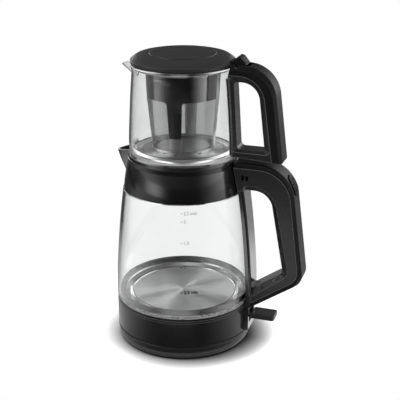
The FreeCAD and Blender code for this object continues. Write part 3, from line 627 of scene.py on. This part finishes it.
# ---- materials of the nodes ------------------------------------------------------------------------------
MATERIALS = {
    "satin": moulded_plastic(
        "satin_charcoal",
        dark=0.009,
        light=0.013,
        rough=0.30,
        grain_depth=0.05 * MM,
        edge=0.9 * MM,
        painted_edge_shine=0.16,
    ),
    "base_satin": moulded_plastic(
        "base_charcoal",
        dark=0.008,
        light=0.012,
        rough=0.42,
        grain_depth=0.06 * MM,
        edge=0.6 * MM,
        # its lowest part is painted paler, a painted reflection of the floor
        foot=8.5 * MM,
    ),
    "lid_satin": moulded_plastic(
        "lid_charcoal", dark=0.015, light=0.021, rough=0.38, grain_depth=0.05 * MM, edge=0.8 * MM
    ),
    "textured": moulded_plastic(
        "textured_black",
        dark=0.004,
        light=0.007,
        rough=0.46,
        grain_depth=0.12 * MM,
        grain_scale=COARSE_GRAIN,
        gloss=0.18,
        edge=0.8 * MM,
        painted_edge_shine=0.03,
        speck=0.11,
    ),
    "button": moulded_plastic(
        "button_black",
        dark=0.003,
        light=0.005,
        rough=0.50,
        grain_depth=0.12 * MM,
        grain_scale=COARSE_GRAIN,
        gloss=0.08,
        edge=0.6 * MM,
    ),
    "band": moulded_plastic(
        "band_black",
        dark=0.005,
        light=0.007,
        rough=0.24,
        grain_depth=0.02 * MM,
        spread=0.02,
        edge=0.4 * MM,
        painted_edge_shine=0.08,
    ),
    "inner": moulded_plastic(
        "inner_plastic", dark=0.30, light=0.36, rough=0.50, grain_depth=0.05 * MM, grain_scale=1800.0
    ),
    "ink": moulded_plastic("mark_ink", dark=0.010, light=0.016, rough=0.6, grain_depth=0.02 * MM),
    # painted light: the same ink as the lower marks, painted pale for the light that falls on the upper
    # ones
    "ink_painted_light": moulded_plastic("mark_ink_painted_light", dark=0.46, light=0.50, rough=0.6, grain_depth=0.02 * MM),
    "gloss": gloss_plastic("gloss_black", shade=0.003, rough=0.20, edge=0.6 * MM),
    "rubber": soft_rubber("black_rubber", grey(0.02), rough=0.7, through=0.0),
    "silicone": soft_rubber("clear_silicone", (0.72, 0.73, 0.73), rough=0.45, through=0.4),
    "seal": crinkled_seal("clear_seal", dark=0.10, light=0.46),
    "kettle_glass": clear_glass(
        "kettle_glass", tint=(0.97, 0.975, 0.975), edge=(0.80, 0.81, 0.81), ior=1.36
    ),
    "teapot_glass": clear_glass(
        "teapot_glass", tint=(0.87, 0.875, 0.875), edge=(0.45, 0.46, 0.46), ior=1.47, heel_z=HEEL_Z
    ),
    "spun_steel": sheet_steel("spun_steel", grey(0.62), rough=0.40, spun=True),
    "polished_steel": sheet_steel("polished_steel", (0.64, 0.64, 0.635), rough=0.09, spun=False),
    "heating_plate": plate_steel("heating_plate", grey(0.90)),
    "side_mesh": perforated_sheet("side_mesh", grey(0.66), pitch=0.8 * MM, hole=0.74 * MM, radius=37 * MM),
    "flat_mesh": perforated_sheet("flat_mesh", grey(0.66), pitch=0.8 * MM, hole=0.72 * MM, radius=0.0),
    "zinc": small_metal("zinc", (0.6, 0.6, 0.59), rough=0.3),
    "aluminium": small_metal("aluminium", (0.75, 0.75, 0.76), rough=0.35),
    "brass": small_metal("brass", (0.8, 0.62, 0.3), rough=0.25),
}
FINISH = {
    "satin": (
        "base_connector kettle_coupler kettle_handle_cheek_left kettle_handle_cheek_right switch_lever "
        "teapot_handle_frame"
    ),
    "base_satin": "base_shell base_bottom_cover kettle_underside",
    "lid_satin": "lid_shell lid_centre_disc lid_under_plate lid_guide_ring",
    "textured": "kettle_handle_cover teapot_handle_shell lid_thumb_tab",
    "button": "lid_button",
    "band": "kettle_band",
    "inner": "thermostat_control steam_switch",
    "gloss": "collar kettle_handle_spine kettle_handle_core kettle_lid kettle_lid_skirt",
    "rubber": "base_feet cord_gland",
    "silicone": "collar_gasket kettle_lid_seal teapot_handle_bond lid_seal",
    "seal": "glass_lower_seal",
    "kettle_glass": "kettle_glass",
    "teapot_glass": "teapot_glass",
    "spun_steel": "steam_plate heating_element",
    "polished_steel": "infuser_rim infuser_strips infuser_foot",
    "heating_plate": "heating_plate",
    "side_mesh": "infuser_side_mesh spout_filter",
    "flat_mesh": "infuser_bottom_mesh",
    "zinc": "base_screws kettle_base_screws lever_pin kettle_handle_screws button_spring lid_hinge_pin",
    "aluminium": "heat_spreader",
    "brass": "base_contacts coupler_contacts",
}
for key, names in FINISH.items():
    for name in names.split():
        for material_slot in NODES[name].material_slots:
            material_slot.material = MATERIALS[key]


def mesh_object(name, points, faces, material):
    """New object with the given points, faces and material."""
    mesh = bpy.data.meshes.new(name)
    mesh.from_pydata(points, [], faces)
    mesh.update()
    made = bpy.data.objects.new(name, mesh)
    made.data.materials.append(material)
    bpy.context.scene.collection.objects.link(made)
    return made


# ---- level marks: printed dashes and numbers on the front of the kettle glass ----------------------------
BODY_R = 78.0 * MM  # outer radius of the glass at its foot
INK_PROUD = 0.08 * MM
INK_SWELL = 0.18 * MM  # makes the numbers bolder
MARK_TURN = -74.1  # degrees from +X to the left end of the dashes
MARK_HEIGHT = 5.2 * MM
DASH_LENGTH = 2.6 * MM
DASH_THICK = 1.0 * MM
NUMBER_START = 1.5 * DASH_LENGTH
LEVEL_MARKS = [
    # the upper three marks use the ink painted pale, as painted light
    (173.1, "2.2 max", "ink_painted_light"),
    (164.0, "2", "ink_painted_light"),
    (140.3, "1.5", "ink_painted_light"),
    (113.2, "1", "ink"),
    (83.7, "0.5 min", "ink"),
]


def on_glass(turn, z):
    """Point just outside the kettle glass, in the direction turn from +X, at height z."""
    outward = Vector((math.cos(turn), math.sin(turn), 0.0))
    start = 2 * BODY_R * outward + Vector((0.0, 0.0, z))
    _, place, _, _ = NODES["kettle_glass"].ray_cast(start, -outward)
    return place + INK_PROUD * outward


def flat_words(name, words):
    """Mesh of the words, lying in the XY plane."""
    curve = bpy.data.curves.new(name, "FONT")
    curve.body = words
    curve.size = MARK_HEIGHT
    curve.align_y = "CENTER"
    curve.offset = INK_SWELL
    text = bpy.data.objects.new(name, curve)
    bpy.context.scene.collection.objects.link(text)
    bpy.context.view_layer.update()
    mesh = bpy.data.meshes.new_from_object(text.evaluated_get(bpy.context.evaluated_depsgraph_get()))
    bpy.data.objects.remove(text)
    return mesh


def printed(name, words, height_z, material):
    """A dash and a number as a thin skin, bent round the glass."""
    mesh = flat_words(name, words)
    points = [(v.co.x + NUMBER_START, v.co.y) for v in mesh.vertices]
    faces = [list(f.vertices) for f in mesh.polygons]
    start, half = len(points), DASH_THICK / 2
    points += [(0.0, -half), (DASH_LENGTH, -half), (DASH_LENGTH, half), (0.0, half)]
    faces.append([start, start + 1, start + 2, start + 3])
    bent = [on_glass(math.radians(MARK_TURN) + a / BODY_R, height_z + b) for a, b in points]
    made = mesh_object(name, bent, faces, material)
    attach(made, "kettle")


for mark_z, words, ink in LEVEL_MARKS:
    printed("level_mark_" + words.split()[0].replace(".", "_"), words, mark_z * MM, MATERIALS[ink])


# ---- trim ring round the middle disc of the teapot lid ---------------------------------------------------
TRIM_R = 36.2 * MM
TRIM_THICK = 0.34 * MM
TRIM_Z = 332.0 * MM


def ring_object(name, radius, thick, z, material, around_steps=160, across_steps=10):
    """Round bar bent into a ring about the Z axis."""
    points, faces = [], []
    for i in range(around_steps):
        turn = 2 * math.pi * i / around_steps
        for j in range(across_steps):
            lean = 2 * math.pi * j / across_steps
            r = radius + thick * math.cos(lean)
            points.append((r * math.cos(turn), r * math.sin(turn), z + thick * math.sin(lean)))
    for i in range(around_steps):
        for j in range(across_steps):
            near, far = i * across_steps, ((i + 1) % around_steps) * across_steps
            k = (j + 1) % across_steps
            faces.append((near + j, far + j, far + k, near + k))
    made = mesh_object(name, points, faces, material)
    made.data.shade_smooth()
    return made


trim = ring_object("lid_trim_ring", TRIM_R, TRIM_THICK, TRIM_Z, MATERIALS["gloss"])
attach(trim, "teapot_lid")


# ---- floor -----------------------------------------------------------------------------------------------
FLOOR_HALF = 8.0  # metres, as all lengths of the studio
FLOOR_LEVEL = 1.25  # its grey to the eye near the object, over 1 so that it comes out nearly white
FLOOR_BOUNCE = 0.8  # grey of the floor near the object, as other things are lit by it
FAR_BOUNCE = 0.5  # brightness of the white floor far out, as other things are lit by it
CONTACT_REACH = 0.030  # how far the object darkens the floor beside it
CONTACT_LEAN = (-0.28, -0.04, 0.96)  # leans the soft shadow to the right and the back
CONTACT_POWER = 2.6
WHITE_R = (0.095, 0.19)  # the floor turns white between these distances from the axis
WHITE_POWER = 1.5
FRONT_START_R = (0.17, 0.19)  # FRONT_GLOW comes in and goes out between these
FRONT_END_R = (0.39, 0.43)
FOOT_R = (0.30, 0.45)  # NEAR_GLOW gives way to FOOT_GLOW between these


def floor_tables(s, radius):
    """Light that glossy surfaces see on the floor."""
    outer = s.remap(radius, *FOOT_R, 0.0, 1.0)
    tables = s.mix_colour(outer, s.azimuth_level(NEAR_GLOW), s.azimuth_level(FOOT_GLOW))
    started = s.remap(radius, *FRONT_START_R, 0.0, 1.0)
    not_ended = s.remap(radius, *FRONT_END_R, 1.0, 0.0)
    front = s.math("MULTIPLY", started, not_ended)
    return s.mix_colour(front, tables, s.azimuth_level(FRONT_GLOW), blend="LIGHTEN")


def floor_material():
    """White far out, lit with the object's shadow near it, as bright as its tables in reflections."""
    s = Shader("floor")
    radius = s.axis_distance()
    shown = s.shown()
    contact = s.node("ShaderNodeAmbientOcclusion", samples=16)
    contact.inputs["Distance"].default_value = CONTACT_REACH
    s.link(s.vector(*CONTACT_LEAN), contact.inputs["Normal"])
    shade = s.math("POWER", contact.outputs["AO"], CONTACT_POWER)
    pale = s.mix_colour(shade, grey(0.0), grey(FLOOR_LEVEL))
    lit = s.node("ShaderNodeBsdfDiffuse")
    s.link(s.mix_colour(shown, grey(FLOOR_BOUNCE), pale), lit.inputs["Color"])
    white = s.emission(s.mix_colour(shown, grey(FAR_BOUNCE), grey(1.0)))
    far = s.math("POWER", s.remap(radius, *WHITE_R, 0.0, 1.0), WHITE_POWER)
    above = s.mix_shader(s.mirrored(), s.mix_shader(far, lit, white), s.emission(floor_tables(s, radius)))
    return s.finish(s.mix_shader(s.back_side(), above, s.node("ShaderNodeBsdfTransparent")))


FLOOR_CORNERS = [(x * FLOOR_HALF, y * FLOOR_HALF, 0.0) for x, y in ((-1, -1), (1, -1), (1, 1), (-1, 1))]
floor = mesh_object("floor", FLOOR_CORNERS, [(0, 1, 2, 3)], floor_material())


# ---- surround: soft boxes and dark cards round the object ------------------------------------------------
SURROUND_R = 0.80
SURROUND_FOOT = 0.002
SURROUND_TOP = 0.90
SURROUND_STEPS = 96
SURROUND_BANDS = [  # heights between which the surround turns to its next table
    (0.03, 0.045, CARD_GLOW),
    (0.09, 0.11, LOW_GLOW),
    (0.19, 0.21, MID_GLOW),
    (0.46, 0.49, HIGH_GLOW),
]


def surround_material():
    """Seen in reflections only."""
    s = Shader("surround")
    _, _, z = s.parts()
    level = s.azimuth_level(FOOT_GLOW)
    for low, high, table in SURROUND_BANDS:
        level = s.mix_colour(s.remap(z, low, high, 0.0, 1.0), level, s.azimuth_level(table))
    clear = s.node("ShaderNodeBsdfTransparent")
    return s.finish(s.mix_shader(s.mirrored(), clear, s.emission(level)))


def surround_wall():
    """Upright wall round the Z axis, open above and below."""
    points, faces = [], []
    for z in (SURROUND_FOOT, SURROUND_TOP):
        for step in range(SURROUND_STEPS):
            turn = 2 * math.pi * step / SURROUND_STEPS
            points.append((SURROUND_R * math.cos(turn), SURROUND_R * math.sin(turn), z))
    for step in range(SURROUND_STEPS):
        after = (step + 1) % SURROUND_STEPS
        faces.append((step, after, SURROUND_STEPS + after, SURROUND_STEPS + step))
    return mesh_object("studio_surround", points, faces, surround_material())


surround = surround_wall()
surround.visible_camera = False
surround.visible_diffuse = False
surround.visible_shadow = False


# ---- lamps and world -------------------------------------------------------------------------------------
LAMPS = [  # name, place, point that it faces, width, height, watts
    ("lamp_top", (-0.15, -0.2, 1.3), (0, 0, 0.1), 1.1, 1.1, 5),
    ("lamp_left", (-1.1, -0.5, 0.75), (0, 0, 0.15), 0.5, 0.9, 10),
    ("lamp_right", (1.2, -0.3, 0.8), (0, 0, 0.15), 0.5, 0.9, 10),
]
WORLD_LIGHT = 0.75
WORLD_GLOW = 0.15


def soft_box(name, place, target, width, height, power):
    """Area lamp that faces the target and isn't seen in reflections."""
    lamp = bpy.data.lights.new(name, "AREA")
    lamp.shape = "RECTANGLE"
    lamp.size = width
    lamp.size_y = height
    lamp.energy = power
    made = bpy.data.objects.new(name, lamp)
    made.location = place
    made.rotation_euler = (Vector(target) - Vector(place)).to_track_quat("-Z", "Y").to_euler()
    made.visible_glossy = False
    bpy.context.scene.collection.objects.link(made)


def studio_world():
    """White to the eye, fainter as a light, and faint in reflections."""
    s = Shader("studio", world=True)
    unseen = s.mix_number(s.mirrored(), WORLD_LIGHT, WORLD_GLOW)
    sky = s.node("ShaderNodeBackground")
    sky.inputs["Color"].default_value = (1, 1, 1, 1)
    s.link(s.mix_number(s.shown(), unseen, 1.0), sky.inputs["Strength"])
    return s.finish(sky)


for lamp in LAMPS:
    soft_box(*lamp)
bpy.context.scene.world = studio_world()


# ---- camera ----------------------------------------------------------------------------------------------
CAMERA_PLACE = (0.3243, -0.9385, 0.5340)
CAMERA_TILT = 69.51  # degrees up from straight down
CAMERA_TURN = 18.0  # degrees round the Z axis, from looking along +Y
CAMERA_LENS = 83.98
CAMERA_SENSOR = 36.0

camera_data = bpy.data.cameras.new("camera")
camera_data.lens = CAMERA_LENS
camera_data.sensor_width = CAMERA_SENSOR
camera_data.sensor_fit = "HORIZONTAL"
camera = bpy.data.objects.new("camera", camera_data)
camera.location = CAMERA_PLACE
camera.rotation_euler = (math.radians(CAMERA_TILT), 0.0, math.radians(CAMERA_TURN))
bpy.context.scene.collection.objects.link(camera)
bpy.context.scene.camera = camera
bpy.context.scene.view_settings.view_transform = "Standard"
